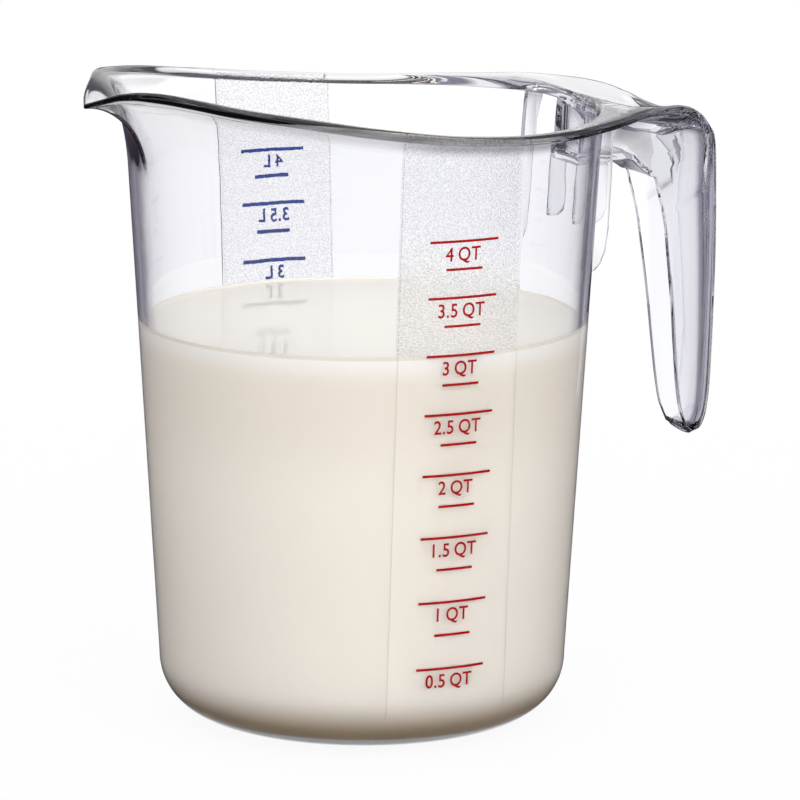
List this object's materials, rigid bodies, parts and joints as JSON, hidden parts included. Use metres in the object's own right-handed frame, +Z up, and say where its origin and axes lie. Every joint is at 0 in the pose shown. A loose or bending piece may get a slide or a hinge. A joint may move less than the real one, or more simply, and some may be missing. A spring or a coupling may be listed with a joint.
{
  "type": "measuring jug of milk",
  "caption": "Clear plastic measuring jug with a flared pouring spout, a volume scale up its side and a hooked channel handle, part filled with milk.",
  "frame": {"origin": "centre of the flat foot, on the jug's own axis, at the level it stands on", "axes": "+Z up along the jug's axis, +X towards the handle, -X towards the spout, -Y the side with the quart scale"},
  "size_m": [0.2606, 0.189, 0.2485],
  "materials": {
    "clear_plastic": "clear, glossy",
    "milk": "opaque liquid, smooth"
  },
  "bodies": {
    "root": {"jug": "clear_plastic", "milk": "milk"}
  },
  "joints": []
}
